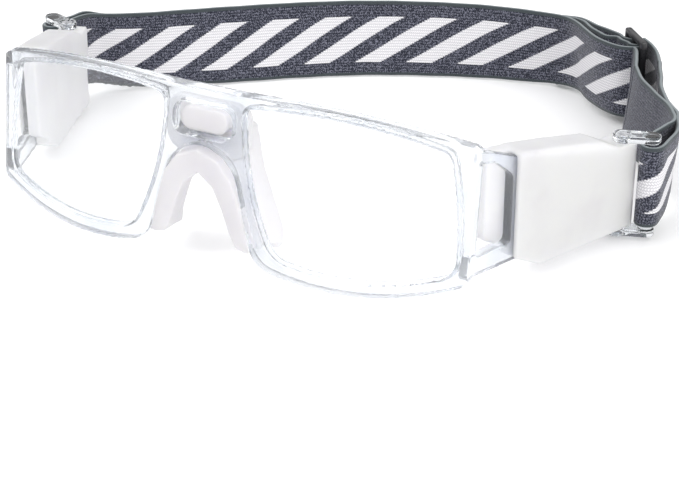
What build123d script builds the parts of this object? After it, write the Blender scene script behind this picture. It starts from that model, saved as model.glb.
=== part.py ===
from build123d import *
import math
import os

# Sports protective goggles, in millimetres.
# +X is the wearer's left, -Y is the way the goggles face, +Z is up.
# The origin is on the table under the middle of the goggles, which stand on
# the bottoms of the rims and on the lower edge of the strap.

# ---- Driving dimensions ----
BRIDGE_Y = -84.5  # middle of the bridge, front to back
FACE_Y = BRIDGE_Y - 6.2  # front face on the middle line at the table
WRAP_RADIUS = 234.0  # plan radius of the wrapped front
FACE_TILT = 0.129  # how far the front leans back for each mm of height
FRAME_DEPTH = 4.5  # front to back thickness of the rims

FRAME_HALF_WIDTH = 77.2
FRAME_TOP_Z = 51.2
FRAME_CORNER_Z = 45.2
TOP_FLAT_X = 22.0  # half length of the straight top over the bridge

LENS_THICKNESS = 2.0
LENS_INSET = 1.2  # depth of the lens front behind the frame front
GROOVE_DEPTH = 1.0  # how far the lens edge goes into the rim
GROOVE_GAP = 0.05

SLOT_WIDTH = 19.2
SLOT_HEIGHT = 9.2
SLOT_Z = 42.0
SLOT_CORNER = 3.6
BOSS_WIDTH = 15.0
BOSS_HEIGHT = 6.6
BOSS_CORNER = 3.0

# Temple frame: local x runs back along the temple, local y runs inward.
TEMPLE_X = 77.0
TEMPLE_Y = BRIDGE_Y + 10.0
TEMPLE_SPLAY = math.degrees(math.atan2(23.5, 62.0))
PLATE_FRONT = 0.8  # local y of the plate's outer face
PLATE_THICKNESS = 3.2
PLATE_MID = PLATE_FRONT + PLATE_THICKNESS / 2
SLEEVE_OUTER = -0.8
SLEEVE_INNER = 8.2
SLEEVE_GAP = 0.05
SLEEVE_END = 65.2
SLEEVE_LOW_Z = 3.4
SLEEVE_HIGH_Z = 30.0

PIVOT_S = 62.2  # distance of the bracket pivot along the temple
BARREL_RADIUS = 1.9
ARM_THICKNESS = 2.2
ARM_GAP = 0.15
ARM_LOW_Z = SLEEVE_LOW_Z - ARM_GAP - ARM_THICKNESS
ARM_HIGH_Z = SLEEVE_HIGH_Z + ARM_GAP
ARM_RADIUS = 3.0
ARM_TIP_RADIUS = 2.5
BAR_REACH = 8.2  # from the pivot to the strap bar
BAR_RADIUS = 2.0
BRACKET_TURN = 50.0  # how far the brackets are swivelled outwards, degrees

SCREW_RADIUS = 1.0
SCREW_HEAD_RADIUS = 1.8
SCREW_HEAD_HEIGHT = 0.9
SCREW_LENGTH = 9.0
SCREW_SLOT = 0.5
PILOT_GAP = 0.02
SWIVEL_GAP = 0.06
COUNTERBORE_RADIUS = 2.1
COUNTERBORE_DEPTH = 1.1

STRAP_WIDTH = 25.0
STRAP_THICKNESS = 1.3
STRAP_LOOP_Z = 4.6  # lower edge of the strap where it goes round a bracket bar
STRAP_RUN_Z = 2.4
STRAP_SLIDER_Z = 3.1  # where it passes through the slider
STRAP_BACK_Z = 0.0
BAND_LEAN = (-0.14, 0.30, 1.0)  # the back band leans outwards with height
WRAP_AT_BAR = 2.85  # radius of the strap's middle round a bracket bar
LOOP_LENGTH = 12.5  # from the bracket bar to the end of the sewn loop
LOOP_AXIS_END = (-101.6, 86.5)  # plan point that the wearer's right loop runs towards

SLIDER_HEIGHT = 30.0
SLIDER_LENGTH = 15.0
SLIDER_THICKNESS = 2.4
SLIDER_BAR = 2.2
SLIDER_X = 70.0
SLIDER_Y = BRIDGE_Y + 151.6
SLIDER_HEADING = 130.7  # direction of the slider's length in plan, degrees from +X
FOLD_RADIUS = 2.4  # of the strap's middle where it is folded round the slider's middle bar
TAIL_HEADING = 152.0  # direction of the sewn tail in plan, degrees from +X

STITCH_PITCH = 2.6
STITCH_LENGTH = 1.7
STITCH_WIDTH = 0.5
STITCH_PROUD = 0.6
STITCH_MARGIN = 2.2


# ---- Helpers ----
def arc_y(x):
    """y of the wrap arc at x, measured from its foot on the middle line."""
    return WRAP_RADIUS - math.sqrt(WRAP_RADIUS**2 - x**2)


def wrap_shell(inset, thickness):
    """A wrapped, leaning shell that starts inset behind the front face."""
    reach = 110.0
    low_z = -10.0
    height = 80.0
    front = FACE_Y + FACE_TILT * low_z + inset
    edge_y = front + arc_y(reach)
    front_arc = ThreePointArc((-reach, edge_y), (0, front), (reach, edge_y))
    back_arc = ThreePointArc((-reach, edge_y + thickness), (0, front + thickness), (reach, edge_y + thickness))
    side_a = Line((-reach, edge_y), (-reach, edge_y + thickness))
    side_b = Line((reach, edge_y), (reach, edge_y + thickness))
    face = make_face([front_arc, side_b, back_arc, side_a])
    lean = (0, FACE_TILT, 1)
    slant = height * math.sqrt(1 + FACE_TILT**2)
    return Pos(0, 0, low_z) * extrude(face, amount=slant, dir=lean)


def front_prism(sketch, depth=60.0):
    """Extrudes an outline drawn in x and z through the whole front."""
    return Pos(0, BRIDGE_Y, 0) * extrude(Plane.XZ * sketch, amount=depth, both=True)


def filleted(edges, corners):
    """A face from edges in order, with a radius at each named corner."""
    face = make_face(edges)
    for point, radius in corners:
        vertex = face.vertices().sort_by_distance((point[0], point[1], 0))[0]
        face = fillet(vertex, radius)
    return face


def both_halves(half):
    return half + mirror(half, about=Plane.YZ)


def polygon(points):
    return make_face(Polyline(*points, close=True))


def on_temple(shape):
    """Moves a shape from the temple's own frame to the wearer's left temple."""
    splay = math.radians(TEMPLE_SPLAY)
    along = (math.sin(splay), math.cos(splay), 0)
    return Plane(origin=(TEMPLE_X, TEMPLE_Y, 0), x_dir=along, z_dir=(0, 0, 1)).location * shape


def temple_point(s, inward):
    """Plan position of a point given along and across the left temple."""
    splay = math.radians(TEMPLE_SPLAY)
    x = TEMPLE_X + s * math.sin(splay) - inward * math.cos(splay)
    y = TEMPLE_Y + s * math.cos(splay) + inward * math.sin(splay)
    return x, y


def panel(points, outer, inner, corners=()):
    """A flat panel of the temple: outline in (s, z), between two local y values."""
    face = polygon(points)
    for point, radius in corners:
        vertex = face.vertices().sort_by_distance((point[0], point[1], 0))[0]
        face = fillet(vertex, radius)
    return Pos(0, outer, 0) * extrude(Plane.XZ * face, amount=-(inner - outer))


def upright(radius, low, high, s=0.0, inward=0.0):
    """A vertical round bar in the temple's frame."""
    return Pos(s, inward, (low + high) / 2) * Cylinder(radius, high - low)


def webbing(points, low_z, thickness=STRAP_THICKNESS, lean=(0, 0, 1)):
    """Flat webbing that stands on edge, or leans, and follows a smooth plan path."""
    path = Spline(*[(x, y) for x, y in points])
    steps = 3 * len(points)
    half = thickness / 2
    left = []
    right = []
    for i in range(steps + 1):
        at = path.position_at(i / steps)
        along = path.tangent_at(i / steps)
        side = Vector(-along.Y, along.X, 0) * half
        left.append(at + side)
        right.append(at - side)
    edges = [Spline(*left), Line(left[-1], right[-1]), Spline(*reversed(right)), Line(right[0], left[0])]
    return Pos(0, 0, low_z) * extrude(make_face(edges), amount=STRAP_WIDTH, dir=lean)


def plan(points):
    """Plan points given from the bridge, moved to the object's own origin."""
    return [(x, y + BRIDGE_Y) for x, y in points]


# ---- Front frame and lenses ----
def window():
    """The wearer's left lens opening, in x and z."""
    inner_top = (12.6, 47.6)
    outer_top = (70.4, 42.6)
    outer_low = (73.8, 9.0)
    inner_low = (23.0, 6.4)
    edges = [
        ThreePointArc(inner_top, (40.0, 48.4), outer_top),
        ThreePointArc(outer_top, (73.1, 26.0), outer_low),
        ThreePointArc(outer_low, (50.0, 3.9), inner_low),
        ThreePointArc(inner_low, (15.3, 25.5), inner_top),
    ]
    return filleted(edges, [(inner_top, 3.0), (outer_top, 4.0), (outer_low, 6.0), (inner_low, 9.0)])


def front_outline():
    """Half of the front's outline, from the middle to the outer strut."""
    top_mid = (0, FRAME_TOP_Z)
    top_end = (TOP_FLAT_X, FRAME_TOP_Z)
    corner = (FRAME_HALF_WIDTH, FRAME_CORNER_Z - 0.8)
    low_corner = (FRAME_HALF_WIDTH, 6.2)
    rim_foot = (48.0, 0.0)
    nose_low = (17.4, 4.0)
    nose_high = (11.4, 26.6)
    arch_top = (0, 35.2)
    edges = [
        Line(top_mid, top_end),
        ThreePointArc(top_end, (52.0, 49.2), corner),
        Line(corner, low_corner),
        ThreePointArc(low_corner, rim_foot, nose_low),
        Line(nose_low, nose_high),
        ThreePointArc(nose_high, (6.8, 32.8), arch_top),
        Line(arch_top, top_mid),
    ]
    return filleted(edges, [(corner, 2.5), (low_corner, 3.0), (nose_low, 9.0)])


def slot(width, height, radius):
    """A rounded rectangle centred on the bridge."""
    return Pos(0, SLOT_Z) * RectangleRounded(width, height, radius)


def temple_side():
    """Side arms and temple plate of the wearer's left, in the temple's frame."""
    outline = [
        (-4.0, 45.6), (2.0, 44.2), (9.8, 41.6), (20.0, 37.6), (58.0, 28.4), (PIVOT_S, 28.4),
        (PIVOT_S, 5.4), (56.0, 5.4), (26.0, 5.4), (20.0, 7.4), (12.0, 7.2), (-6.0, 7.2),
    ]
    side_window = [
        (-4.0, 41.2), (3.0, 40.4), (10.0, 38.6), (16.0, 33.6), (16.0, 12.4), (11.0, 13.6), (5.0, 12.9), (-6.0, 14.0),
    ]
    plate = panel(outline, PLATE_FRONT, PLATE_FRONT + PLATE_THICKNESS)
    gap = panel(side_window, PLATE_FRONT - 2, PLATE_FRONT + PLATE_THICKNESS + 2, [((16.0, 33.6), 2.5), ((16.0, 12.4), 2.0)])
    barrel = upright(BARREL_RADIUS, SLEEVE_LOW_Z, SLEEVE_HIGH_Z, PIVOT_S, PLATE_MID)
    return plate - gap + barrel


def front_frame():
    lens_hole = both_halves(window())
    outline = both_halves(front_outline()) - lens_hole - slot(SLOT_WIDTH, SLOT_HEIGHT, SLOT_CORNER)
    front = front_prism(outline) & wrap_shell(0, FRAME_DEPTH)
    seat = both_halves(offset(window(), GROOVE_DEPTH))
    groove = front_prism(seat) & wrap_shell(LENS_INSET - GROOVE_GAP, LENS_THICKNESS + 2 * GROOVE_GAP)
    side = on_temple(temple_side()) & wrap_shell(0, 120.0)
    side = side - (front_prism(window()) & wrap_shell(-5.0, FRAME_DEPTH + 9.0))
    pilot = on_temple(upright(SCREW_RADIUS + PILOT_GAP, SLEEVE_LOW_Z - 1, SLEEVE_LOW_Z + SCREW_LENGTH, PIVOT_S, PLATE_MID))
    pilot_high = on_temple(
        upright(SCREW_RADIUS + PILOT_GAP, SLEEVE_HIGH_Z - SCREW_LENGTH, SLEEVE_HIGH_Z + 1, PIVOT_S, PLATE_MID)
    )
    side = side - pilot - pilot_high
    return front + side + mirror(side, about=Plane.YZ) - groove


def lens():
    outline = offset(window(), GROOVE_DEPTH - GROOVE_GAP)
    return front_prism(outline) & wrap_shell(LENS_INSET, LENS_THICKNESS)


# ---- Nose piece ----
def arch_section(outer, inner, y):
    """One inverted U of the nose piece, standing across the nose at y.

    The points are the wearer's left half, from the middle line downwards.
    """
    left = [(-x, z) for x, z in outer[1:]]
    left_inner = [(-x, z) for x, z in inner[1:]]
    ring = outer + inner[::-1] + left_inner + left[::-1]
    face = make_face(Polyline(*ring, close=True))
    return Pos(0, y, 0) * (Plane.XZ * face)


def nose_piece():
    front = arch_section(
        [(0, 34.9), (6.6, 32.4), (11.1, 26.4), (16.2, 10.8), (18.0, 8.2), (15.4, 6.4)],
        [(0, 28.0), (4.6, 24.4), (7.2, 18.6), (9.6, 11.6), (11.6, 7.4)],
        BRIDGE_Y - 4.0,
    )
    middle = arch_section(
        [(0, 34.9), (6.6, 32.4), (11.1, 26.4), (16.2, 10.8), (18.0, 8.2), (15.4, 6.4)],
        [(0, 27.4), (4.8, 23.8), (7.6, 18.2), (10.2, 11.2), (12.2, 6.8)],
        BRIDGE_Y + 1.6,
    )
    rear = arch_section(
        [(0, 45.0), (11.6, 40.0), (13.6, 27.0), (19.2, 10.0), (19.4, 5.0), (17.6, 2.8)],
        [(0, 38.4), (8.4, 33.0), (10.2, 22.0), (14.6, 9.0), (15.4, 3.6)],
        BRIDGE_Y + 11.0,
    )
    legs = loft([front, middle], ruled=True) + loft([middle, rear], ruled=True)
    back_plate = front_prism(Pos(0, SLOT_Z - 2.6) * RectangleRounded(26.0, 16.0, 5.0))
    back_plate = back_plate & wrap_shell(FRAME_DEPTH + SLEEVE_GAP, 2.2)
    boss = front_prism(slot(BOSS_WIDTH, BOSS_HEIGHT, BOSS_CORNER)) & wrap_shell(1.0, FRAME_DEPTH + 0.6)
    return legs + back_plate + boss - front_frame()


# ---- Temple sleeves ----
def sleeve():
    outer_outline = [
        (17.0, 40.2), (33.0, 37.4), (50.0, 34.0), (58.0, SLEEVE_HIGH_Z), (SLEEVE_END, SLEEVE_HIGH_Z),
        (SLEEVE_END, SLEEVE_LOW_Z), (27.0, SLEEVE_LOW_Z), (17.0, 8.4),
    ]
    body = panel(outer_outline, SLEEVE_OUTER, SLEEVE_INNER, [((27.0, SLEEVE_LOW_Z), 6.0), ((17.0, 40.2), 1.5)])
    cushion_outline = [(9.0, 41.0), (33.0, 37.4), (33.0, 6.0), (20.0, 9.0), (9.0, 14.6)]
    cushion_outer = PLATE_FRONT + PLATE_THICKNESS + 0.3
    cushion = panel(cushion_outline, cushion_outer, SLEEVE_INNER, [((9.0, 41.0), 3.0), ((9.0, 14.6), 3.0)])
    pocket_outline = [
        (-4.0, 50.0), (2.0, 45.6 + SLEEVE_GAP), (9.8, 41.6 + SLEEVE_GAP), (20.0, 37.6 + SLEEVE_GAP),
        (58.0, 28.4 + SLEEVE_GAP), (PIVOT_S, 28.4 + SLEEVE_GAP), (PIVOT_S, 5.4 - SLEEVE_GAP),
        (26.0, 5.4 - SLEEVE_GAP), (20.0, 7.4 - SLEEVE_GAP), (-4.0, 7.2 - SLEEVE_GAP),
    ]
    pocket = panel(pocket_outline, PLATE_FRONT - SLEEVE_GAP, PLATE_FRONT + PLATE_THICKNESS + SLEEVE_GAP)
    bore = upright(BARREL_RADIUS + SLEEVE_GAP, SLEEVE_LOW_Z - 1, SLEEVE_HIGH_Z + 1, PIVOT_S, PLATE_MID)
    return on_temple(body + cushion - pocket - bore)


# ---- Strap brackets and their screws ----
def bracket_arm(low_z):
    """A flat arm with round ends, from the pivot at zero to the strap bar."""
    web = Pos(BAR_REACH / 2, 0) * Rectangle(BAR_REACH, 2 * ARM_TIP_RADIUS)
    outline = Circle(ARM_RADIUS) + Pos(BAR_REACH, 0) * Circle(ARM_TIP_RADIUS) + web
    return Pos(0, 0, low_z) * extrude(outline, amount=ARM_THICKNESS)


def strap_bracket():
    """The wearer's left bracket, swivelled outwards about its screws."""
    top_z = ARM_HIGH_Z + ARM_THICKNESS
    arms = bracket_arm(ARM_LOW_Z) + bracket_arm(ARM_HIGH_Z)
    bar = upright(BAR_RADIUS, ARM_LOW_Z + 1, top_z - 1, BAR_REACH)
    hole = upright(SCREW_RADIUS + SWIVEL_GAP, -5, 40)
    high_sink = upright(COUNTERBORE_RADIUS, top_z - COUNTERBORE_DEPTH, top_z + 1)
    low_sink = upright(COUNTERBORE_RADIUS, ARM_LOW_Z - 1, ARM_LOW_Z + COUNTERBORE_DEPTH)
    bracket = arms + bar - hole - high_sink - low_sink
    return on_temple(Pos(PIVOT_S, PLATE_MID, 0) * Rot(0, 0, -BRACKET_TURN) * bracket)


def bar_point(side):
    """Plan position of a strap bar; side is 1 for the wearer's left and -1 for the right."""
    turn = math.radians(BRACKET_TURN)
    x, y = temple_point(PIVOT_S + BAR_REACH * math.cos(turn), PLATE_MID - BAR_REACH * math.sin(turn))
    return side * x, y


def bracket_screw(upward):
    """A slotted screw with its head at z = 0 and its shank below, or turned over."""
    shank = Pos(0, 0, -SCREW_LENGTH / 2) * Cylinder(SCREW_RADIUS, SCREW_LENGTH)
    head = Pos(0, 0, SCREW_HEAD_HEIGHT / 2) * Cylinder(SCREW_HEAD_RADIUS, SCREW_HEAD_HEIGHT)
    groove = Pos(0, 0, SCREW_HEAD_HEIGHT) * Box(4 * SCREW_RADIUS, SCREW_SLOT, SCREW_SLOT)
    screw = shank + head - groove
    return screw if upward else Rot(180, 0, 0) * screw


def bracket_screws():
    head_high = ARM_HIGH_Z + ARM_THICKNESS - COUNTERBORE_DEPTH + 0.05
    head_low = ARM_LOW_Z + COUNTERBORE_DEPTH - 0.05
    high = on_temple(Pos(PIVOT_S, PLATE_MID, head_high) * bracket_screw(True))
    low = on_temple(Pos(PIVOT_S, PLATE_MID, head_low) * bracket_screw(False))
    return Compound([high, low, mirror(high, about=Plane.YZ), mirror(low, about=Plane.YZ)])


# ---- Strap ----
def right_loop_point(along, across):
    """Plan position from the right strap bar, along and across the sewn loop."""
    bar_x, bar_y = bar_point(-1)
    end_x, end_y = plan([LOOP_AXIS_END])[0]
    heading = math.atan2(end_y - bar_y, end_x - bar_x)
    x = bar_x + along * math.cos(heading) + across * math.sin(heading)
    y = bar_y + along * math.sin(heading) - across * math.cos(heading)
    return x, y


def right_loop():
    """Sewn end of the strap, round the wearer's right bracket bar."""
    inner = [(LOOP_LENGTH, 0.8), (9.0, 0.85), (5.5, 1.5), (1.7, 2.9), (-1.8, 2.4)]
    outer = [(along, -across) for along, across in reversed(inner)]
    points = [right_loop_point(along, across) for along, across in inner + [(-3.1, 0.0)] + outer]
    return webbing(points, STRAP_LOOP_Z)


def right_run():
    """Strap from the sewn end to the start of the back band."""
    points = [right_loop_point(LOOP_LENGTH + 0.6, 0.0)] + plan([(-98.4, 91.4), (-92.4, 97.6)])
    return webbing(points, STRAP_RUN_Z, thickness=2 * STRAP_THICKNESS)


def back_band():
    """Strap round the back of the head, as far as the bend before the slider."""
    middle = plan([(-90.0, 99.6), (-69.9, 117.8), (-47.5, 136.6), (-27.0, 150.3), (-2.2, 161.9), (14.0, 166.6), (34.0, 168.4)])
    rise = STRAP_WIDTH / 2
    foot = [(x - BAND_LEAN[0] * rise, y - BAND_LEAN[1] * rise) for x, y in middle]
    return webbing(foot, STRAP_BACK_Z, lean=BAND_LEAN)


def slider_point(along, across):
    """Plan position given along and across the slider's length."""
    heading = math.radians(SLIDER_HEADING)
    x = SLIDER_X + along * math.cos(heading) - across * math.sin(heading)
    y = SLIDER_Y + along * math.sin(heading) + across * math.cos(heading)
    return x, y


def left_bend():
    """Strap from the back band, bending forward into the slider's front slot."""
    points = plan([
        (34.9, 168.6), (38.2, 168.4), (41.0, 167.5), (46.2, 163.9), (50.0, 159.4), (54.3, 154.6), (60.0, 149.9),
        (66.3, 147.0), (70.2, 147.2),
    ])
    return webbing(points + [slider_point(-4.2, 0.9)], STRAP_SLIDER_Z)


def strap_tail():
    """Sewn end of the strap, folded round the middle bar of the slider."""
    inner_leaf = plan([(38.8, 170.3), (41.7, 169.2), (47.4, 165.2), (51.3, 160.7), (55.2, 156.5), (59.4, 153.0)])
    fold = [slider_point(6.4, 3.9), slider_point(3.6, 3.5)]
    for degrees in (75, 110, 145, 180, 215, 250, 285, 320, 350):
        turn = math.radians(degrees)
        fold.append(slider_point(FOLD_RADIUS * math.cos(turn), FOLD_RADIUS * math.sin(turn)))
    fold += [slider_point(3.4, 0.7), slider_point(4.6, 1.7), slider_point(6.4, 2.15), slider_point(8.4, 2.2)]
    outer_leaf = plan([(57.4, 159.2), (52.9, 162.4), (48.4, 166.4), (42.4, 170.6), (39.2, 171.7)])
    return webbing(inner_leaf + fold + outer_leaf, STRAP_SLIDER_Z)


def outer_leg():
    """Strap on the outer side, from the slider to the wearer's left bracket."""
    points = plan([
        (74.4, 153.6), (77.2, 150.8), (80.2, 146.5), (83.6, 140.2), (87.8, 129.5), (92.8, 116.2), (99.2, 104.6),
        (102.7, 98.6), (104.6, 93.4),
    ])
    return webbing([slider_point(2.6, -3.9)] + points, STRAP_RUN_Z)


def inner_leg():
    """Strap on the inner side, from the slider to the wearer's left bracket."""
    points = plan([
        (74.0, 139.0), (77.0, 130.9), (83.2, 120.8), (90.3, 112.6), (96.8, 104.6), (100.2, 99.2), (102.9, 93.0),
    ])
    return webbing([slider_point(-6.0, 2.1)] + points, STRAP_RUN_Z)


def left_loop():
    """Strap round the wearer's left bracket bar."""
    x, y = bar_point(1)
    wrap = []
    for degrees in (-8, -45, -90, -135, -172):
        turn = math.radians(degrees)
        wrap.append((x + WRAP_AT_BAR * math.cos(turn), y + WRAP_AT_BAR * math.sin(turn)))
    outer_leaf = plan([(104.8, 92.6), (106.6, 87.6), (107.6, 82.5), (107.8, 77.4)])
    inner_leaf = plan([(101.6, 76.4), (101.9, 82.0), (102.7, 87.6), (103.2, 92.2)])
    return webbing(outer_leaf + wrap + inner_leaf, STRAP_LOOP_Z)


def strap_slider():
    """Three-bar slider that stands on edge in plan, along its heading."""
    plate = Box(SLIDER_LENGTH, SLIDER_THICKNESS, SLIDER_HEIGHT)
    slot_length = (SLIDER_LENGTH - 3 * SLIDER_BAR) / 2
    slot_shift = (slot_length + SLIDER_BAR) / 2
    slot_box = Box(slot_length, 2 * SLIDER_THICKNESS, STRAP_WIDTH + 1.0)
    slider = plate - Pos(slot_shift, 0, 0) * slot_box - Pos(-slot_shift, 0, 0) * slot_box
    return Pos(SLIDER_X, SLIDER_Y, STRAP_SLIDER_Z + STRAP_WIDTH / 2) * Rot(0, 0, SLIDER_HEADING) * slider


def stitches(spots, low_z, heading):
    """Rows of short upright threads through two layers of strap, at plan points."""
    rows = int((STRAP_WIDTH - 2 * STITCH_MARGIN) / STITCH_PITCH) + 1
    through = 2 * STRAP_THICKNESS + STITCH_PROUD
    thread = Box(STITCH_WIDTH, through, STITCH_LENGTH)
    threads = []
    for x, y in spots:
        for i in range(rows):
            threads.append(Pos(x, y, low_z + STITCH_MARGIN + STITCH_PITCH * i) * Rot(0, 0, heading) * thread)
    return Compound(threads)


def right_stitches():
    spots = [right_loop_point(9.4, 0.0), right_loop_point(11.6, 0.0)]
    (x0, y0), (x1, y1) = spots
    heading = math.degrees(math.atan2(y1 - y0, x1 - x0))
    return stitches(spots, STRAP_LOOP_Z, heading)


def tail_stitches():
    spots = plan([(42.0, 169.9), (43.9, 168.8)])
    return stitches(spots, STRAP_SLIDER_Z, TAIL_HEADING)


# ---- Export ----
def build():
    left_lens = lens()
    left_sleeve = sleeve()
    left_bracket = strap_bracket()
    return {
        "front_frame": front_frame(),
        "left_lens": left_lens,
        "right_lens": mirror(left_lens, about=Plane.YZ),
        "nose_piece": nose_piece(),
        "left_temple_sleeve": left_sleeve,
        "right_temple_sleeve": mirror(left_sleeve, about=Plane.YZ),
        "left_strap_bracket": left_bracket,
        "right_strap_bracket": mirror(left_bracket, about=Plane.YZ),
        "bracket_screws": bracket_screws(),
        "strap_right_loop": right_loop(),
        "strap_right_run": right_run(),
        "strap_back_band": back_band(),
        "strap_left_bend": left_bend(),
        "strap_tail": strap_tail(),
        "strap_outer_leg": outer_leg(),
        "strap_inner_leg": inner_leg(),
        "strap_left_loop": left_loop(),
        "strap_slider": strap_slider(),
        "strap_right_stitches": right_stitches(),
        "strap_tail_stitches": tail_stitches(),
    }


os.makedirs("parts", exist_ok=True)
for node, shape in build().items():
    export_step(shape, f"parts/{node}.step")
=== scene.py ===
"""Sports protective goggles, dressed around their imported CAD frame.

The clear moulded parts and the silicone are rounded copies of the CAD nodes.
The elastic strap is woven ribbon that follows the CAD strap's plan path.
Everything is in metres, in the CAD model's own frame.
"""

import logging
import math
from dataclasses import dataclass, field
from enum import Enum

import bmesh
import bpy
from mathutils import Matrix, Vector


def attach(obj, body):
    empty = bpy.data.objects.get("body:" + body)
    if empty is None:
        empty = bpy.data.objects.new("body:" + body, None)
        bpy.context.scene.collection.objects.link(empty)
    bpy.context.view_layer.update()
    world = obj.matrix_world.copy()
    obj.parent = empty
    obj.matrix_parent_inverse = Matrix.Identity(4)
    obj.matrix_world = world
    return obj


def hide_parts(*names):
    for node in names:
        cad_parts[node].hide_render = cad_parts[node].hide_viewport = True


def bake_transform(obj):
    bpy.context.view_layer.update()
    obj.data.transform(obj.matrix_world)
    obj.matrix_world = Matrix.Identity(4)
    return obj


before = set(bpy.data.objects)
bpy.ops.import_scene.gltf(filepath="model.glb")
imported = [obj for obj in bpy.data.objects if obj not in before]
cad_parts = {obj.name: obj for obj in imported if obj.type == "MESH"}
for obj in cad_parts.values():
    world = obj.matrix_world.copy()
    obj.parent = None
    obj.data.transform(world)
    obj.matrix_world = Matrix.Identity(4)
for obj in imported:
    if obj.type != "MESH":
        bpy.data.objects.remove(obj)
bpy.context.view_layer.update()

log = logging.getLogger("goggles")

MM = 0.001
BRIDGE_Y = -84.5  # middle of the bridge, front to back, in mm
STRAP_WIDTH = 25.0
STRAP_THICKNESS = 1.3
RIBBON_STEP = 0.7  # the distance between two sections of a ribbon, in mm
KNOT_PARTS = 24  # short straight parts between two given points


class Body(Enum):
    """The moving bodies of the goggles."""

    GOGGLES = "goggles"
    LEFT_BRACKET = "left_bracket"
    RIGHT_BRACKET = "right_bracket"
    SLIDER = "slider"


class Slot(Enum):
    """The names of the material slots."""

    FRAME = "clear_frame"
    LENS = "clear_lens"
    SILICONE = "soft_silicone"
    BRACKET = "clear_bracket"
    SCREW = "screw_steel"
    WEBBING = "strap_webbing"
    SLIDER = "slider_black"
    THREAD = "stitch_thread"


# ---- Shader maths ----
class Value:
    """A socket's value in a node tree, so that shader maths reads as an expression."""

    def __init__(self, graph: "Graph", socket: bpy.types.NodeSocket) -> None:
        """Wraps a socket.

        Args:
            graph: The node tree's builder.
            socket: The output that holds the value.
        """
        self.graph = graph
        self.socket = socket

    def math(self, operation: str, *others: "Value | float") -> "Value":
        """Adds one Math node.

        Args:
            operation: The Math node's operation.
            *others: The values of its further inputs.

        Returns:
            The node's result.
        """
        return self.graph.math(operation, self, *others)

    def __add__(self, other: "Value | float") -> "Value":
        """The sum."""
        return self.math("ADD", other)

    __radd__ = __add__

    def __mul__(self, other: "Value | float") -> "Value":
        """The product."""
        return self.math("MULTIPLY", other)

    __rmul__ = __mul__

    def __sub__(self, other: "Value | float") -> "Value":
        """The difference."""
        return self.math("SUBTRACT", other)

    def __rsub__(self, other: float) -> "Value":
        """The difference from a number."""
        return self.graph.math("SUBTRACT", other, self)

    def __truediv__(self, other: "Value | float") -> "Value":
        """The quotient."""
        return self.math("DIVIDE", other)

    def __pow__(self, other: float) -> "Value":
        """The power."""
        return self.math("POWER", other)

    def above(self, low: "Value | float", high: "Value | float") -> "Value":
        """A smooth step from 0 at low to 1 at high."""
        node = self.graph.node(
            "ShaderNodeMapRange", {"interpolation_type": "SMOOTHSTEP"},
            {"Value": self, "From Min": low, "From Max": high},
        )
        return Value(self.graph, node.outputs[0])


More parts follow.
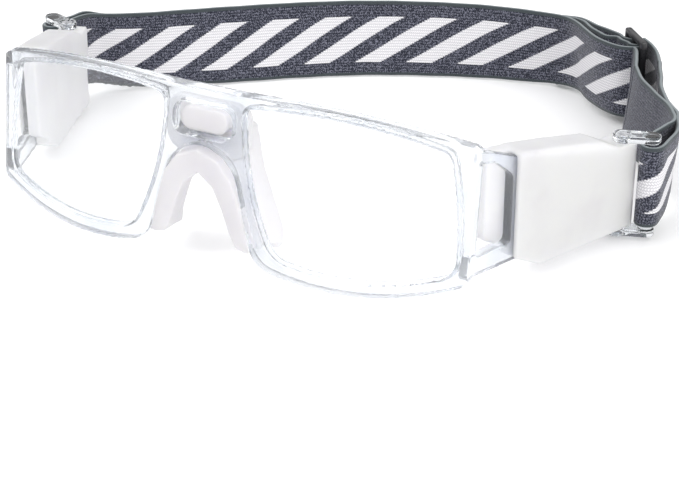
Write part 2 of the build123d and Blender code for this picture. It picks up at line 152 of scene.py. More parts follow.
class Graph:
    """Builds one material's node tree."""

    def __init__(self, name: str) -> None:
        """Starts an empty material.

        Args:
            name: The material's name.
        """
        self.material = bpy.data.materials.new(name)
        self.material.use_nodes = True
        self.tree = self.material.node_tree
        self.tree.nodes.clear()

    def node(self, kind: str, settings: dict | None = None, values: dict | None = None) -> bpy.types.Node:
        """Adds a node.

        Args:
            kind: The node's type.
            settings: Its properties, with a ramp's stops under "stops".
            values: The numbers or links of its inputs, by name or index.

        Returns:
            The node.
        """
        node = self.tree.nodes.new(kind)
        for name, setting in (settings or {}).items():
            if name == "stops":
                ramp = node.color_ramp
                while len(ramp.elements) < len(setting):
                    ramp.elements.new(1.0)
                for element, (position, shade) in zip(ramp.elements, setting):
                    element.position = position
                    element.color = shade
            else:
                setattr(node, name, setting)
        for key, value in (values or {}).items():
            if isinstance(value, Value):
                self.tree.links.new(value.socket, node.inputs[key])
            else:
                node.inputs[key].default_value = value
        return node

    def math(self, operation: str, *terms: Value | float) -> Value:
        """Adds a Math node.

        Args:
            operation: The Math node's operation.
            *terms: Its inputs.

        Returns:
            The result.
        """
        node = self.node("ShaderNodeMath", {"operation": operation}, dict(enumerate(terms)))
        return Value(self, node.outputs[0])

    def mix(self, share: Value | float, first: "Value | tuple", second: "Value | tuple") -> Value:
        """Mixes two colours.

        Args:
            share: How much of the second.
            first: The colour at 0.
            second: The colour at 1.

        Returns:
            The mixed colour.
        """
        node = self.node("ShaderNodeMix", {"data_type": "RGBA"}, {0: share, 6: first, 7: second})
        return Value(self, node.outputs[2])

    def place(self) -> Value:
        """The point on the piece, in metres."""
        return Value(self, self.node("ShaderNodeTexCoord").outputs["Object"])

    def noise(self, scale: float, detail: float = 2.0, rough: float = 0.5) -> Value:
        """Noise over the piece.

        Args:
            scale: Noise cells for each metre.
            detail: Octaves.
            rough: How strong the finer octaves are.

        Returns:
            A value about 0.5.
        """
        node = self.node(
            "ShaderNodeTexNoise", None,
            {"Vector": self.place(), "Scale": scale, "Detail": detail, "Roughness": rough},
        )
        return Value(self, node.outputs[0])

    def split(self, vector: Value) -> list[Value]:
        """The three parts of a vector."""
        node = self.node("ShaderNodeSeparateXYZ", None, {0: vector})
        return [Value(self, output) for output in node.outputs]

    def bump(self, height: Value, distance: float) -> Value:
        """A normal from a height.

        Args:
            height: The height, in units of distance.
            distance: How high 1 stands, in metres.

        Returns:
            The normal.
        """
        node = self.node("ShaderNodeBump", None, {"Strength": 1.0, "Distance": distance, "Height": height})
        return Value(self, node.outputs[0])

    def surface(self, values: dict) -> Value:
        """A Principled surface.

        Args:
            values: Its inputs.

        Returns:
            The shader.
        """
        return Value(self, self.node("ShaderNodeBsdfPrincipled", None, values).outputs[0])

    def lamp_lit(self, shader: Value, share: float) -> Value:
        """Lets part of the lamps' light straight through clear plastic.

        Args:
            shader: The plastic.
            share: The share of the light that passes.

        Returns:
            The mixed shader.
        """
        lamp = Value(self, self.node("ShaderNodeLightPath").outputs["Is Shadow Ray"]) * share
        clear = self.node("ShaderNodeBsdfTransparent").outputs[0]
        mixer = self.node("ShaderNodeMixShader", None, {0: lamp, 1: shader, 2: Value(self, clear)})
        return Value(self, mixer.outputs[0])

    def finish(self, shader: Value) -> bpy.types.Material:
        """Sends a shader to the material's output.

        Args:
            shader: The finished shader.

        Returns:
            The material.
        """
        self.node("ShaderNodeOutputMaterial", None, {"Surface": shader})
        return self.material


def colour(red: float, green: float, blue: float) -> tuple[float, float, float, float]:
    """A solid colour with full alpha."""
    return (red, green, blue, 1.0)


# ---- Finishes ----
@dataclass(frozen=True)
class ClearPlastic:
    """Polished clear moulding, with faint flow lines."""

    name: str
    tint: tuple = colour(0.93, 0.955, 0.97)
    flow_tint: tuple = colour(0.86, 0.90, 0.93)
    ior: float = 1.5
    roughness: float = 0.02
    ripple: float = 0.02 * MM  # the height of the flow lines
    clarity: float = 1.0
    lamp_share: float = 0.9  # the share of the lamps' light that it lets straight through

    def material(self) -> bpy.types.Material:
        """The material."""
        graph = Graph(self.name)
        flow = graph.noise(90.0, 3.0)
        fine = graph.noise(700.0, 2.0)
        shader = graph.surface({
            "Base Color": graph.mix(flow.above(0.4, 0.7), self.tint, self.flow_tint),
            "Roughness": fine * (2.0 * self.roughness),
            "IOR": self.ior,
            "Transmission Weight": self.clarity,
            "Normal": graph.bump(flow, self.ripple),
        })
        return graph.finish(graph.lamp_lit(shader, self.lamp_share))


@dataclass(frozen=True)
class Silicone:
    """Milky, slightly see-through silicone with a satin skin."""

    name: str
    pale: tuple = colour(0.86, 0.86, 0.875)
    shade: tuple = colour(0.77, 0.75, 0.79)

    def material(self) -> bpy.types.Material:
        """The material."""
        graph = Graph(self.name)
        cloud = graph.noise(55.0, 3.0)
        skin = graph.noise(1800.0, 2.0)
        shader = graph.surface({
            "Base Color": graph.mix(cloud.above(0.42, 0.72) * 0.55, self.pale, self.shade),
            "Roughness": skin * 0.16 + 0.34,
            "IOR": 1.41,
            "Subsurface Weight": 0.6,
            "Subsurface Radius": (0.006, 0.006, 0.007),
            "Subsurface Scale": 1.0,
            "Transmission Weight": 0.25,
            "Normal": graph.bump(skin, 0.03 * MM),
        })
        return graph.finish(shader)


@dataclass(frozen=True)
class ElasticWebbing:
    """Jacquard elastic: dark chevron ground, slanted pale bars, plain selvedges.

    Its pattern reads the ribbon's own map, in metres: along, and across from the lower edge.
    """

    name: str
    barred: bool = True
    ground: tuple = colour(0.009, 0.011, 0.022)
    fleck: tuple = colour(0.20, 0.205, 0.26)
    bar: tuple = colour(0.86, 0.85, 0.86)
    bar_shade: tuple = colour(0.58, 0.57, 0.60)
    selvedge: tuple = colour(0.045, 0.056, 0.062)
    edge_line: tuple = colour(0.21, 0.24, 0.25)
    pitch: float = 18.3 * MM
    run: float = 1.65  # how far a bar goes along for each step across
    share: float = 0.5
    low: float = 4.6 * MM
    high: float = 19.8 * MM
    curl: float = 0.002  # how far a bar's ends sweep on, in mm for each cubed mm across
    rib: float = 0.70 * MM
    pick: float = 0.46 * MM
    chevron_rows: float = 2.4  # picks in one leg of a chevron
    chevron_reach: float = 1.2  # ribs that a chevron's leg crosses
    border: float = 1.15  # width of the selvedge, in mm
    hem: float = 0.135  # width of the pale line on the very edge, in mm

    def material(self) -> bpy.types.Material:
        """The material."""
        graph = Graph(self.name)
        chart = Value(graph, graph.node("ShaderNodeUVMap", {"uv_map": "weave"}).outputs[0])
        along, across, _ = graph.split(chart)
        chevron = (across / (self.chevron_rows * self.pick)).math("PINGPONG", 1.0) * self.chevron_reach
        rib = ((along / self.rib + chevron) * (2.0 * math.pi)).math("SINE") * 0.5 + 0.5
        pick = (across * (2.0 * math.pi / (2.0 * self.pick))).math("SINE") * 0.5 + 0.5
        yarn = graph.noise(1900.0, 3.0, rough=0.8)
        weave = rib * pick
        flecks = (weave * 0.30 + yarn * 2.6).above(1.32, 1.62)
        ground = graph.mix(flecks * 0.85, self.ground, self.fleck)
        pale = graph.mix((weave + yarn * 0.5).above(0.25, 0.8), self.bar_shade, self.bar)
        woven = ground
        if self.barred:
            woven = graph.mix(self.bars(graph, along, across, yarn), ground, pale)
        half = STRAP_WIDTH * MM / 2
        side = (across - half).math("ABSOLUTE")
        border = half - self.border * MM
        hem = half - self.hem * MM
        with_selvedge = graph.mix(side.above(border - 0.1 * MM, border + 0.1 * MM), woven, self.selvedge)
        edged = graph.mix(side.above(hem - 0.085 * MM, hem + 0.085 * MM), with_selvedge, self.edge_line)
        shader = graph.surface({
            "Base Color": edged,
            "Roughness": yarn * 0.15 + 0.72,
            "Sheen Weight": 0.25,
            "Sheen Roughness": 0.5,
            "Specular IOR Level": 0.25,
            "Normal": graph.bump(weave * 0.5 + yarn * 0.9, 0.18 * MM),
        })
        return graph.finish(shader)

    def bars(self, graph: Graph, along: Value, across: Value, yarn: Value) -> Value:
        """The mask of the slanted bars.

        Args:
            graph: The material's builder.
            along: Distance along the ribbon.
            across: Distance from its lower edge.
            yarn: Noise that frays the bars' outline.

        Returns:
            1 on a bar and 0 off it.
        """
        middle = (self.low + self.high) / 2
        stepped = (across / self.pick).math("FLOOR") * self.pick
        lean = stepped - middle
        curl = lean.math("POWER", 3.0) * (self.curl / (MM * MM))
        phase = (along - lean * self.run - curl) / self.pitch + yarn * 0.03
        distance = (phase.math("FRACT") - 0.5).math("ABSOLUTE")
        inside = 1.0 - distance.above(self.share / 2 - 0.012, self.share / 2 + 0.012)
        low_side = across.above(self.low - 0.15 * MM, self.low + 0.15 * MM)
        high_side = 1.0 - across.above(self.high - 0.15 * MM, self.high + 0.15 * MM)
        return inside * low_side * high_side


@dataclass(frozen=True)
class BlackPlastic:
    """Glossy black moulding with a fine grain."""

    name: str
    black: tuple = colour(0.018, 0.018, 0.020)
    worn: tuple = colour(0.06, 0.06, 0.065)

    def material(self) -> bpy.types.Material:
        """The material."""
        graph = Graph(self.name)
        grain = graph.noise(2600.0, 2.0)
        scuffs = graph.noise(240.0, 4.0)
        shader = graph.surface({
            "Base Color": graph.mix(scuffs.above(0.55, 0.8), self.black, self.worn),
            "Roughness": scuffs * 0.2 + 0.2,
            "Specular IOR Level": 0.6,
            "Normal": graph.bump(grain, 0.02 * MM),
        })
        return graph.finish(shader)


@dataclass(frozen=True)
class TurnedSteel:
    """Small turned screws."""

    name: str
    light: tuple = colour(0.72, 0.73, 0.75)
    dark: tuple = colour(0.42, 0.43, 0.46)

    def material(self) -> bpy.types.Material:
        """The material."""
        graph = Graph(self.name)
        brushed = graph.noise(900.0, 4.0)
        shader = graph.surface({
            "Base Color": graph.mix(brushed.above(0.35, 0.7), self.light, self.dark),
            "Metallic": 1.0,
            "Roughness": brushed * 0.25 + 0.15,
            "Normal": graph.bump(brushed, 0.01 * MM),
        })
        return graph.finish(shader)


@dataclass(frozen=True)
class Thread:
    """Twisted polyester thread."""

    name: str
    light: tuple = colour(0.16, 0.17, 0.22)
    dark: tuple = colour(0.05, 0.055, 0.08)

    def material(self) -> bpy.types.Material:
        """The material."""
        graph = Graph(self.name)
        x, y, z = graph.split(graph.place())
        twist = ((z + x + y) * (2.0 * math.pi / (0.3 * MM))).math("SINE") * 0.5 + 0.5
        shader = graph.surface({
            "Base Color": graph.mix(twist, self.dark, self.light),
            "Roughness": twist * 0.1 + 0.55,
            "Normal": graph.bump(twist, 0.04 * MM),
        })
        return graph.finish(shader)


@dataclass(frozen=True)
class PaperFloor:
    """White studio paper."""

    name: str = "studio_paper"

    def material(self) -> bpy.types.Material:
        """The material."""
        graph = Graph(self.name)
        fibre = graph.noise(40.0, 3.0)
        shader = graph.surface({
            "Base Color": graph.mix(fibre * 0.2, colour(0.97, 0.97, 0.97), colour(0.95, 0.95, 0.955)),
            "Roughness": fibre * 0.1 + 0.7,
            "Specular IOR Level": 0.1,
            "Emission Color": colour(1.0, 1.0, 1.0),
            "Emission Strength": 0.07,
        })
        return graph.finish(shader)


# ---- Mesh helpers ----
def new_piece(name: str, mesh: bpy.types.Mesh, material: bpy.types.Material) -> bpy.types.Object:
    """Links a mesh as a finished piece.

    Args:
        name: The piece's name.
        mesh: Its mesh, in place.
        material: Its material.

    Returns:
        The piece.
    """
    piece = bpy.data.objects.new(name, mesh)
    bpy.context.scene.collection.objects.link(piece)
    mesh.materials.clear()
    mesh.materials.append(material)
    mesh.polygons.foreach_set("use_smooth", [True] * len(mesh.polygons))
    return piece


def baked(piece: bpy.types.Object) -> None:
    """Applies a piece's modifiers to its mesh."""
    bpy.context.view_layer.update()
    graph = bpy.context.evaluated_depsgraph_get()
    mesh = bpy.data.meshes.new_from_object(piece.evaluated_get(graph))
    old = piece.data
    piece.modifiers.clear()
    piece.data = mesh
    bpy.data.meshes.remove(old)


def merged_copy(node: str) -> bpy.types.Mesh:
    """A copy of a CAD node's mesh with its triangles joined up.

    Args:
        node: The node's name.

    Returns:
        The mesh.
    """
    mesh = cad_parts[node].data.copy()
    shape = bmesh.new()
    shape.from_mesh(mesh)
    bmesh.ops.remove_doubles(shape, verts=shape.verts, dist=0.002 * MM)
    shape.to_mesh(mesh)
    shape.free()
    return mesh


# ---- Moulded parts ----
@dataclass
class Moulding:
    """A moulded part: its CAD node's shape with every edge softly rounded."""

    node: str
    name: str
    body: Body
    slot: Slot
    voxel: float  # the grain of its even skin, in mm
    passes: int = 6  # smoothing passes

    def build(self, material: bpy.types.Material) -> bpy.types.Object:
        """Makes the rounded copy.

        Args:
            material: The part's finish.

        Returns:
            The piece.
        """
        piece = new_piece(self.name, merged_copy(self.node), material)
        guide = new_piece(f"{self.name}_guide", piece.data.copy(), material)
        remesh = piece.modifiers.new("even_skin", "REMESH")
        remesh.mode = "VOXEL"
        remesh.voxel_size = self.voxel * MM
        remesh.use_smooth_shade = True
        settle = piece.modifiers.new("true_faces", "SHRINKWRAP")
        settle.target = guide
        settle.wrap_method = "NEAREST_SURFACEPOINT"
        soften = piece.modifiers.new("soft_edges", "SMOOTH")
        soften.factor = 0.5
        soften.iterations = self.passes
        baked(piece)
        bpy.data.meshes.remove(guide.data)
        piece.data.materials.clear()
        piece.data.materials.append(material)
        self.dress(piece)
        return piece

    def dress(self, piece: bpy.types.Object) -> None:
        """Hides the part's CAD node and joins the piece to its body."""
        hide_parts(self.node)
        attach(piece, self.body.value)
        log.info("%s: %d faces", piece.name, len(piece.data.polygons))


@dataclass
class Slider:
    """The three-bar slider: the CAD plate with bevelled bars."""

    bevel: float = 0.7  # in mm
    segments: int = 3
    flat: float = 2.0  # faces that meet within this angle are one, in degrees
    crease: float = 30.0  # edges sharper than this are bevelled, in degrees

    def build(self, material: bpy.types.Material) -> bpy.types.Object:
        """Makes the bevelled slider.

        Args:
            material: The slider's finish.

        Returns:
            The piece.
        """
        mesh = merged_copy("strap_slider")
        shape = bmesh.new()
        shape.from_mesh(mesh)
        flat = math.radians(self.flat)
        bmesh.ops.dissolve_limit(shape, angle_limit=flat, verts=shape.verts, edges=shape.edges)
        sharp = [edge for edge in shape.edges if edge.calc_face_angle(0.0) > math.radians(self.crease)]
        bmesh.ops.bevel(
            shape, geom=sharp, offset=self.bevel * MM, affect="EDGES", segments=self.segments, profile=0.5,
            material=-1, clamp_overlap=True,
        )
        shape.to_mesh(mesh)
        shape.free()
        piece = new_piece("slider_body", mesh, material)
        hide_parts("strap_slider")
        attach(piece, Body.SLIDER.value)
        log.info("%s: %d faces", piece.name, len(mesh.polygons))
        return piece


# ---- Strap ----
def curve_through(points: list[tuple[float, ...]], lead: tuple, trail: tuple) -> list[Vector]:
    """A smooth curve through given points, as many short straight parts.

    Args:
        points: The points that the curve passes through.
        lead: A point before the curve that steers its start, or nothing.
        trail: A point after the curve that steers its end, or nothing.

    Returns:
        The curve's points, unevenly spaced.
    """
    knots = [Vector(point) for point in points]
    first = Vector(lead) if lead else 2 * knots[0] - knots[1]
    last = Vector(trail) if trail else 2 * knots[-1] - knots[-2]
    guides = [first] + knots + [last]
    dense = [knots[0]]
    for before, start, stop, after in zip(guides, guides[1:], guides[2:], guides[3:]):
        spans = [max((b - a).length, 1e-6) ** 0.5 for a, b in ((before, start), (start, stop), (stop, after))]
        direct = (stop - start) / spans[1]
        leave = (start - before) / spans[0] - (stop - before) / (spans[0] + spans[1]) + direct
        arrive = direct - (after - start) / (spans[1] + spans[2]) + (after - stop) / spans[2]
        leave *= spans[1]
        arrive *= spans[1]
        for part in range(1, KNOT_PARTS + 1):
            t = part / KNOT_PARTS
            dense.append(
                (2 * t**3 - 3 * t**2 + 1) * start + (t**3 - 2 * t**2 + t) * leave
                + (3 * t**2 - 2 * t**3) * stop + (t**3 - t**2) * arrive
            )
    return dense


def smooth_line(points: list[tuple[float, ...]], lead: tuple, trail: tuple) -> list[Vector]:
    """Even points, a ribbon's step apart, along the smooth curve through given ones.

    Args:
        points: The points that the line passes through.
        lead: A point before the line that steers its start, or nothing.
        trail: A point after the line that steers its end, or nothing.

    Returns:
        The points.
    """
    dense = curve_through(points, lead, trail)
    lengths = [0.0]
    for first, second in zip(dense, dense[1:]):
        lengths.append(lengths[-1] + (second - first).length)
    count = max(2, round(lengths[-1] / RIBBON_STEP))
    line = []
    place = 0
    for i in range(count + 1):
        goal = lengths[-1] * i / count
        while place < len(lengths) - 2 and lengths[place + 1] < goal:
            place += 1
        span = max(lengths[place + 1] - lengths[place], 1e-9)
        line.append(dense[place].lerp(dense[place + 1], (goal - lengths[place]) / span))
    return line


@dataclass
class Ribbon:
    """One stretch of the strap: woven ribbon standing on edge along a path.

    Each point is x and y from the bridge, the height of the lower edge, and how far
    the upper edge leans to the left of the path, in mm.
    """

    name: str
    nodes: tuple[str, ...]
    points: list[tuple[float, float, float, float]]
    home: Body
    far: Body | None = None
    start: tuple[float, float] = (0.0, 0.0)  # where it leaves its home body, from the bridge
    end: tuple[float, float] = (0.0, 0.0)  # where it is wholly on the far body
    chart_start: float = 0.0  # the weave's place at the ribbon's start, in mm
    chart_sign: int = 1  # the way that the weave runs along the ribbon
    lead: tuple = ()
    trail: tuple = ()
    sides: int = 12  # parts up a face
    turns: int = 4  # parts round an edge
    edge: float = 0.75  # how round an edge is, as a share of half the thickness
    ripple: float = 0.10  # the height of the faint waves, in mm
    wave_along: float = 0.42  # radians of wave for each mm along
    wave_up: float = 0.11  # radians of wave for each mm up

    def length(self) -> float:
        """How long the ribbon is, in mm."""
        line = smooth_line(self.points, self.lead, self.trail)
        return sum((second.xy - first.xy).length for first, second in zip(line, line[1:]))

    def profile(self) -> list[tuple[float, float]]:
        """The ribbon's closed section: across its thickness, and up its width.

        Returns:
            The section's points in mm, the first one again at the end.
        """
        half = STRAP_THICKNESS / 2
        radius = self.edge * half
        section = []
        for side in (1, -1):
            heights = [radius + (STRAP_WIDTH - 2 * radius) * i / self.sides for i in range(self.sides + 1)]
            for height in heights[::side]:
                section.append((side * half, height))
            centre = STRAP_WIDTH - radius if side > 0 else radius
            for i in range(1, self.turns):
                angle = math.pi * i / self.turns
                section.append((side * half * math.cos(angle), centre + side * radius * math.sin(angle)))
        return section + section[:1]

    def build(self, material: bpy.types.Material) -> bpy.types.Object:
        """Makes the ribbon.

        Args:
            material: The webbing's finish.

        Returns:
            The piece.
        """
        line = smooth_line(self.points, self.lead, self.trail)
        section = self.profile()
        shape = bmesh.new()
        chart = shape.loops.layers.uv.new("weave")
        bmesh.ops.create_grid(shape, x_segments=len(line) - 1, y_segments=len(section) - 1, size=0.5)
        places = {}
        lengths = [0.0]
        for first, second in zip(line, line[1:]):
            lengths.append(lengths[-1] + (second.xy - first.xy).length)
        for vert in shape.verts:
            i = round((vert.co.x + 0.5) * (len(line) - 1))
            j = round((vert.co.y + 0.5) * (len(section) - 1))
            places[vert] = (i, j)
            ahead = line[min(i + 1, len(line) - 1)].xy - line[max(i - 1, 0)].xy
            side = Vector((-ahead.y, ahead.x)).normalized()
            offset, height = section[j]
            wave = self.ripple * math.sin(lengths[i] * self.wave_along + height * self.wave_up)
            lean = line[i].w * (height / STRAP_WIDTH - 0.5)
            spot = line[i].xy + side * (offset + lean + wave)
            vert.co = Vector((spot.x, spot.y + BRIDGE_Y, line[i].z + height)) * MM
        for face in shape.faces:
            for loop in face.loops:
                i, j = places[loop.vert]
                along = self.chart_start + self.chart_sign * lengths[i]
                loop[chart].uv = (along * MM, min(max(section[j][1], 0.0), STRAP_WIDTH) * MM)
        bmesh.ops.remove_doubles(shape, verts=shape.verts, dist=0.001 * MM)
        open_edges = [edge for edge in shape.edges if edge.is_boundary]
        caps = bmesh.ops.holes_fill(shape, edges=open_edges, sides=0)["faces"]
        bmesh.ops.recalc_face_normals(shape, faces=shape.faces)
        bmesh.ops.split(shape, geom=caps)
        mesh = bpy.data.meshes.new(self.name)
        shape.to_mesh(mesh)
        shape.free()
        piece = new_piece(self.name, mesh, material)
        self.dress(piece)
        return piece

    def dress(self, piece: bpy.types.Object) -> None:
        """Hides the ribbon's CAD nodes; a ribbon without a far body is joined to its home body, any other
        only has its placement baked into its mesh.
        """
        if self.nodes:
            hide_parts(*self.nodes)
        if self.far is None:
            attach(piece, self.home.value)
        else:
            height = STRAP_WIDTH / 2 * MM
            start = (self.start[0] * MM, (self.start[1] + BRIDGE_Y) * MM, height)
            end = (self.end[0] * MM, (self.end[1] + BRIDGE_Y) * MM, height)
            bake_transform(piece)
        log.info("%s: %d faces", piece.name, len(piece.data.polygons))


@dataclass
class Strap:
    """The whole head strap, its slider and its stitching."""

    bar: tuple[float, float] = (-104.54, 71.72)  # the right bracket's bar, from the bridge
    loop_end: tuple[float, float] = (-101.6, 86.5)
    slider: tuple[float, float] = (70.0, 151.6)
    slider_heading: float = 130.7
    fold: float = 2.4  # radius of the tail round the slider's middle bar
    wrap: float = 2.85  # radius of the strap round the left bracket's bar
    stitch: tuple[float, float, float] = (0.28, 0.34, 0.95)  # half its size: out of, along and up
    stitch_pitch: float = 2.6
    stitch_rows: int = 8

    def by_right_bar(self, along: float, across: float, low: float) -> tuple[float, float, float, float]:
        """A ribbon point given from the right bar, along and across the sewn loop."""
        way = (Vector(self.loop_end) - Vector(self.bar)).normalized()
        spot = Vector(self.bar) + along * way + across * Vector((way.y, -way.x))
        return (spot.x, spot.y, low, 0.0)

    def by_slider(self, along: float, across: float, low: float = 3.1) -> tuple[float, float, float, float]:
        """A ribbon point given from the slider's middle, along and across it."""
        turn = math.radians(self.slider_heading)
        way = Vector((math.cos(turn), math.sin(turn)))
        spot = Vector(self.slider) + along * way + across * Vector((-way.y, way.x))
        return (spot.x, spot.y, low, 0.0)

    def back(self) -> Ribbon:
        """The sewn right end, the bar loop and the band round the back of the head."""
        wrap = [(15.0, -0.9), (9.0, -0.9), (5.5, -1.5), (1.7, -2.9), (-1.8, -2.4), (-3.1, 0.0)]
        points = [(-93.0, 98.5, 0.8, -3.4), (-96.4, 95.2, 1.4, -2.3), (-99.5, 92.1, 2.5, -1.2)]
        points += [self.by_right_bar(along, across, 4.6) for along, across in wrap]
        points += [self.by_right_bar(along, -across, 4.6) for along, across in reversed(wrap[1:-1])]
        points += [
            self.by_right_bar(14.5, 0.9, 4.2), (-98.4, 90.9, 2.9, 1.2), (-90.0, 99.6, 1.2, 5.0),
            (-69.9, 117.8, 0.4, 8.0), (-47.5, 136.6, 0.2, 8.0), (-27.0, 150.3, 0.2, 7.5),
            (-2.2, 161.9, 0.2, 6.5), (14.0, 166.7, 0.4, 5.0), (28.0, 168.9, 0.6, 3.0),
        ]
        return Ribbon(
            "strap_band", ("strap_right_loop", "strap_right_run", "strap_back_band"), points,
            Body.GOGGLES, Body.RIGHT_BRACKET, (-68.0, 119.5), (-101.8, 85.5), chart_start=-48.0,
            trail=self.bend_points()[1],
        )

    def bend_points(self) -> list[tuple[float, float, float, float]]:
        """The points of the double bend that leads into the slider's front slot."""
        return [
            (28.0, 168.9, 0.6, 3.0), (36.0, 168.9, 1.1, 1.0), (41.5, 167.4, 1.4, -0.8),
            (46.2, 163.9, 1.8, -1.8), (50.0, 159.4, 2.1, -1.9), (54.3, 154.6, 2.4, -1.6),
            (60.2, 149.6, 2.8, -1.8), (66.4, 146.5, 3.1, -1.0), (70.3, 146.9, 3.1, -0.2),
            self.by_slider(-4.2, 0.9), self.by_slider(-4.2, -1.6),
        ]

    def bend(self, chart_start: float) -> Ribbon:
        """The band's last stretch, which bends forward into the slider."""
        return Ribbon(
            "strap_bend", ("strap_left_bend",), self.bend_points(),
            Body.GOGGLES, Body.SLIDER, (48.0, 162.0), (66.0, 149.0), chart_start=chart_start,
            lead=(14.0, 166.7, 0.4, 5.0),
        )

    def tail(self) -> Ribbon:
        """The sewn end, folded round the slider's middle bar and laid along the band."""
        points = [
            (36.2, 170.3, 0.3, 0.8), (41.9, 169.2, 1.3, -0.8), (47.4, 165.2, 2.2, -1.5),
            (51.4, 160.7, 2.5, -1.4), (55.3, 156.4, 2.9, -0.8), (59.4, 153.0, 3.1, 0.0),
            self.by_slider(6.4, 3.9), self.by_slider(3.6, 3.5),
        ]
        for degrees in (75, 110, 145, 180, 215, 250, 285, 320, 350):
            turn = math.radians(degrees)
            points.append(self.by_slider(self.fold * math.cos(turn), self.fold * math.sin(turn)))
        points += [self.by_slider(*spot) for spot in ((3.4, 0.7), (4.6, 1.7), (6.4, 2.15), (8.4, 2.2))]
        points += [
            (57.4, 159.2, 3.0, 0.0), (52.9, 162.4, 2.7, 1.0), (48.4, 166.4, 2.2, 1.4),
            (42.6, 170.5, 1.2, 0.8), (36.0, 171.6, 0.2, -0.6),
        ]
        return Ribbon("strap_tail_fold", ("strap_tail",), points, Body.SLIDER, chart_start=206.0)

    def outer_leg(self) -> Ribbon:
        """The outer layer, from the slider to the middle of the leg."""
        points = [
            self.by_slider(3.0, -3.9), (74.4, 153.5, 3.0, 0.0), (76.8, 150.4, 2.9, 0.0),
            (79.4, 146.1, 2.8, 0.0), (82.6, 139.6, 2.8, 0.0),
        ]
        return Ribbon(
            "strap_outer_leg_back", (), points,
            Body.GOGGLES, Body.SLIDER, (81.6, 141.6), (75.0, 152.0), chart_start=30.0,
            trail=(86.8, 128.8, 2.8, 0.0),
        )

    def left_loop(self) -> Ribbon:
        """The outer layer's front half, round the left bracket's bar."""
        points = [
            (82.6, 139.6, 2.8, 0.0), (86.8, 128.8, 2.8, 0.0), (92.0, 115.6, 3.0, 0.3),
            (98.6, 104.4, 3.5, 0.6), (102.4, 98.4, 4.0, 1.0), (104.4, 92.6, 4.4, 1.4),
            (106.0, 87.4, 4.6, 1.8), (106.9, 82.4, 4.6, 1.8), (107.3, 77.4, 4.6, 0.8),
        ]
        for degrees in (-8, -45, -90, -135, -172):
            turn = math.radians(degrees)
            x = self.wrap * math.cos(turn) - self.bar[0]
            points.append((x, self.wrap * math.sin(turn) + self.bar[1], 4.6, 0.0))
        points += [(101.6, 76.4, 4.6, 0.0), (101.9, 82.0, 4.6, -0.4), (102.7, 87.6, 4.6, -1.0)]
        return Ribbon(
            "strap_left_end", ("strap_outer_leg", "strap_left_loop"), points,
            Body.GOGGLES, Body.LEFT_BRACKET, (83.6, 138.0), (103.0, 95.0), chart_start=13.2, chart_sign=-1,
            lead=(79.4, 146.1, 2.8, 0.0), trail=(102.9, 93.0, 4.3, -1.6),
        )

    def inner_front(self) -> Ribbon:
        """The inner layer, from the left bracket's bar to the middle of the leg."""
        points = [
            (102.7, 87.6, 4.6, -1.0), (102.9, 93.0, 4.3, -1.6), (100.3, 99.3, 3.9, -1.7),
            (96.7, 104.7, 3.5, -1.8), (90.0, 112.6, 3.1, -2.0), (83.0, 120.8, 2.9, -2.2),
            (76.8, 130.9, 3.0, -2.2),
        ]
        return Ribbon(
            "strap_inner_leg_front", (), points,
            Body.GOGGLES, Body.LEFT_BRACKET, (77.4, 130.0), (102.5, 95.0),
            lead=(101.9, 82.0, 4.6, -0.4), trail=(74.2, 138.2, 3.1, -2.0),
        )

    def inner_back(self) -> Ribbon:
        """The inner layer, from the middle of the leg to the slider's front bar."""
        points = [
            (76.8, 130.9, 3.0, -2.2), (74.2, 138.2, 3.1, -2.0), (73.3, 142.8, 3.1, -0.8),
            self.by_slider(-6.0, 2.1), self.by_slider(-4.0, 2.2),
        ]
        return Ribbon(
            "strap_inner_leg_back", ("strap_inner_leg",), points,
            Body.GOGGLES, Body.SLIDER, (76.4, 132.0), (73.6, 142.0), lead=(83.0, 120.8, 2.9, -2.2),
        )

    def stitches(
        self, name: str, node: str, body: Body, columns: list[tuple[Vector, Vector]], low: float,
        depth: float, material: bpy.types.Material,
    ) -> bpy.types.Object:
        """Columns of short upright stitches on both faces of two sewn layers.

        Args:
            name: The piece's name.
            node: The CAD node that it replaces.
            body: The body that it rides on.
            columns: Each column's plan point and outward direction, in mm from the bridge.
            low: The height of the lowest stitch, in mm.
            depth: The distance from the middle of the layers to a face, in mm.
            material: The thread's finish.

        Returns:
            The piece.
        """
        shape = bmesh.new()
        size = Matrix.Diagonal([half * MM for half in self.stitch] + [1.0])
        for spot, way in columns:
            turn = Matrix.Rotation(math.atan2(way.y, way.x), 4, "Z")
            for face in (1, -1):
                middle = spot + way * (face * depth)
                for row in range(self.stitch_rows):
                    place = Vector((middle.x, middle.y + BRIDGE_Y, low + self.stitch_pitch * row)) * MM
                    bmesh.ops.create_icosphere(
                        shape, subdivisions=2, radius=1.0, matrix=Matrix.Translation(place) @ turn @ size,
                    )
        mesh = bpy.data.meshes.new(name)
        shape.to_mesh(mesh)
        shape.free()
        piece = new_piece(name, mesh, material)
        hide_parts(node)
        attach(piece, body.value)
        log.info("%s: %d faces", name, len(mesh.polygons))
        return piece

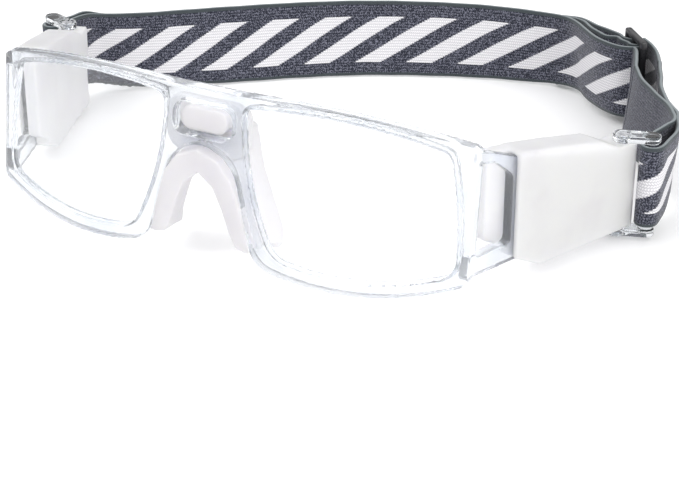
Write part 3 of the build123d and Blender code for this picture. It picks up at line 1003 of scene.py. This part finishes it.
    def build(self) -> None:
        """Makes every stretch of the strap and its stitching."""
        barred = ElasticWebbing("elastic_barred").material()
        plain = ElasticWebbing("elastic_plain", barred=False, fleck=colour(0.15, 0.155, 0.20)).material()
        band = self.back()
        bend = self.bend(band.chart_start + band.length())
        for ribbon in (band, bend, self.tail(), self.outer_leg(), self.left_loop()):
            ribbon.build(barred)
        for ribbon in (self.inner_front(), self.inner_back()):
            ribbon.build(plain)
        thread = Thread("sewing_thread").material()
        way = (Vector(self.loop_end) - Vector(self.bar)).normalized()
        across = Vector((way.y, -way.x))
        columns = [(Vector(self.by_right_bar(along, 0.0, 0.0)[:2]), across) for along in (9.4, 11.6)]
        self.stitches(
            "loop_stitching", "strap_right_stitches", Body.RIGHT_BRACKET, columns, low=7.6, depth=1.62,
            material=thread,
        )
        out = Vector((0.47, 0.88))
        columns = [(Vector((41.6, 170.1)), out), (Vector((43.7, 168.9)), out)]
        self.stitches(
            "tail_stitching", "strap_tail_stitches", Body.SLIDER, columns, low=6.0, depth=1.45,
            material=thread,
        )


# ---- Studio ----
@dataclass
class Studio:
    """White paper, a bright soft sky and the camera."""

    target: Vector = field(default_factory=lambda: Vector((42.7, -84.5, 15.0)) * MM)
    distance: float = 0.5
    azimuth: float = 28.6
    elevation: float = 26.6
    lens: float = 97.87

    def floor(self) -> None:
        """Lays the paper."""
        shape = bmesh.new()
        bmesh.ops.create_circle(shape, cap_ends=True, segments=96, radius=6.0)
        mesh = bpy.data.meshes.new("paper")
        shape.to_mesh(mesh)
        shape.free()
        paper = new_piece("studio_floor", mesh, PaperFloor().material())
        mesh.transform(Matrix.Translation((0.0, 0.0, -0.0003)))

    def sky(self) -> None:
        """A bright tent above, darker towards the horizon so that clear edges draw dark lines."""
        world = bpy.data.worlds.new("tent")
        bpy.context.scene.world = world
        world.use_nodes = True
        tree = world.node_tree
        tree.nodes.clear()
        chart = tree.nodes.new("ShaderNodeTexCoord")
        parts = tree.nodes.new("ShaderNodeSeparateXYZ")
        ramp = tree.nodes.new("ShaderNodeValToRGB")
        light = tree.nodes.new("ShaderNodeBackground")
        out = tree.nodes.new("ShaderNodeOutputWorld")
        tree.links.new(chart.outputs["Generated"], parts.inputs[0])
        tree.links.new(parts.outputs["Z"], ramp.inputs[0])
        tree.links.new(ramp.outputs[0], light.inputs[0])
        tree.links.new(light.outputs[0], out.inputs[0])
        stops = [(0.0, 0.04), (0.14, 0.14), (0.30, 0.82), (0.5, 1.0)]
        while len(ramp.color_ramp.elements) < len(stops):
            ramp.color_ramp.elements.new(1.0)
        for element, (position, level) in zip(ramp.color_ramp.elements, stops):
            element.position = position
            element.color = (level, level, level * 1.01, 1.0)
        light.inputs["Strength"].default_value = 1.05

    def lamp(self, name: str, place: tuple[float, float, float], size: float, power: float) -> None:
        """Hangs one square soft box that faces the goggles.

        Args:
            name: The lamp's name.
            place: Where it hangs, in metres.
            size: Its side, in metres.
            power: Its power, in watts.
        """
        light = bpy.data.lights.new(name, "AREA")
        light.shape = "SQUARE"
        light.size = size
        light.energy = power
        lamp = bpy.data.objects.new(name, light)
        lamp.location = place
        lamp.rotation_euler = (self.target - Vector(place)).to_track_quat("-Z", "Y").to_euler()
        bpy.context.scene.collection.objects.link(lamp)

    def camera(self) -> None:
        """Sets the camera."""
        turn = math.radians(self.azimuth)
        rise = math.radians(self.elevation)
        way = Vector((math.sin(turn) * math.cos(rise), -math.cos(turn) * math.cos(rise), math.sin(rise)))
        data = bpy.data.cameras.new("camera")
        data.lens = self.lens
        data.sensor_width = 36.0
        data.clip_start = 0.01
        camera = bpy.data.objects.new("camera", data)
        camera.location = self.target + way * self.distance
        camera.rotation_euler = (-way).to_track_quat("-Z", "Y").to_euler()
        bpy.context.scene.collection.objects.link(camera)
        bpy.context.scene.camera = camera

    def build(self) -> None:
        """Sets up the studio."""
        self.floor()
        self.sky()
        self.lamp("key", (-0.9, -0.8, 1.3), 0.8, 8.0)
        self.lamp("fill", (1.2, -0.45, 0.55), 0.9, 8.0)
        self.camera()
        bpy.context.scene.view_settings.view_transform = "Standard"


def main() -> None:
    """Builds the goggles piece by piece, then the studio."""
    logging.basicConfig(level=logging.INFO, format="%(message)s")
    plastic = ClearPlastic(
        "clear_polycarbonate", colour(0.86, 0.88, 0.905), colour(0.76, 0.79, 0.835), clarity=0.86,
    ).material()
    Moulding("front_frame", "frame_moulding", Body.GOGGLES, Slot.FRAME, voxel=0.40).build(plastic)
    glass = ClearPlastic(
        "lens_polycarbonate", colour(0.985, 0.99, 0.995), colour(0.975, 0.985, 0.99),
        ripple=0.002 * MM, lamp_share=1.0,
    ).material()
    clear = ClearPlastic(
        "clear_bracket_plastic", colour(0.90, 0.92, 0.94), colour(0.82, 0.85, 0.88),
    ).material()
    silicone = Silicone("milky_silicone").material()
    for side, body in (("left", Body.LEFT_BRACKET), ("right", Body.RIGHT_BRACKET)):
        lens = Moulding(f"{side}_lens", f"{side}_lens_pane", Body.GOGGLES, Slot.LENS, voxel=0.45, passes=2)
        lens.build(glass)
        sleeve = Moulding(
            f"{side}_temple_sleeve", f"{side}_temple_pad", Body.GOGGLES, Slot.SILICONE, voxel=0.5, passes=8,
        )
        sleeve.build(silicone)
        bracket = Moulding(f"{side}_strap_bracket", f"{side}_bracket_link", body, Slot.BRACKET, voxel=0.22)
        bracket.build(clear)
    # The nose has its own darker, pinker copy of the silicone. The pinker tint is the cushion's own colour;
    # the darkening is painted shade.
    cushion = Silicone("nose_silicone_tint_and_shade", colour(0.80, 0.785, 0.80), colour(0.72, 0.70, 0.73)).material()
    Moulding("nose_piece", "nose_cushion", Body.GOGGLES, Slot.SILICONE, voxel=0.4, passes=8).build(cushion)
    steel = TurnedSteel("turned_steel").material()
    Moulding("bracket_screws", "screws", Body.GOGGLES, Slot.SCREW, voxel=0.12, passes=2).build(steel)
    Slider().build(BlackPlastic("slider_black").material())
    Strap().build()
    Studio().build()


if __name__ == "__main__":
    main()
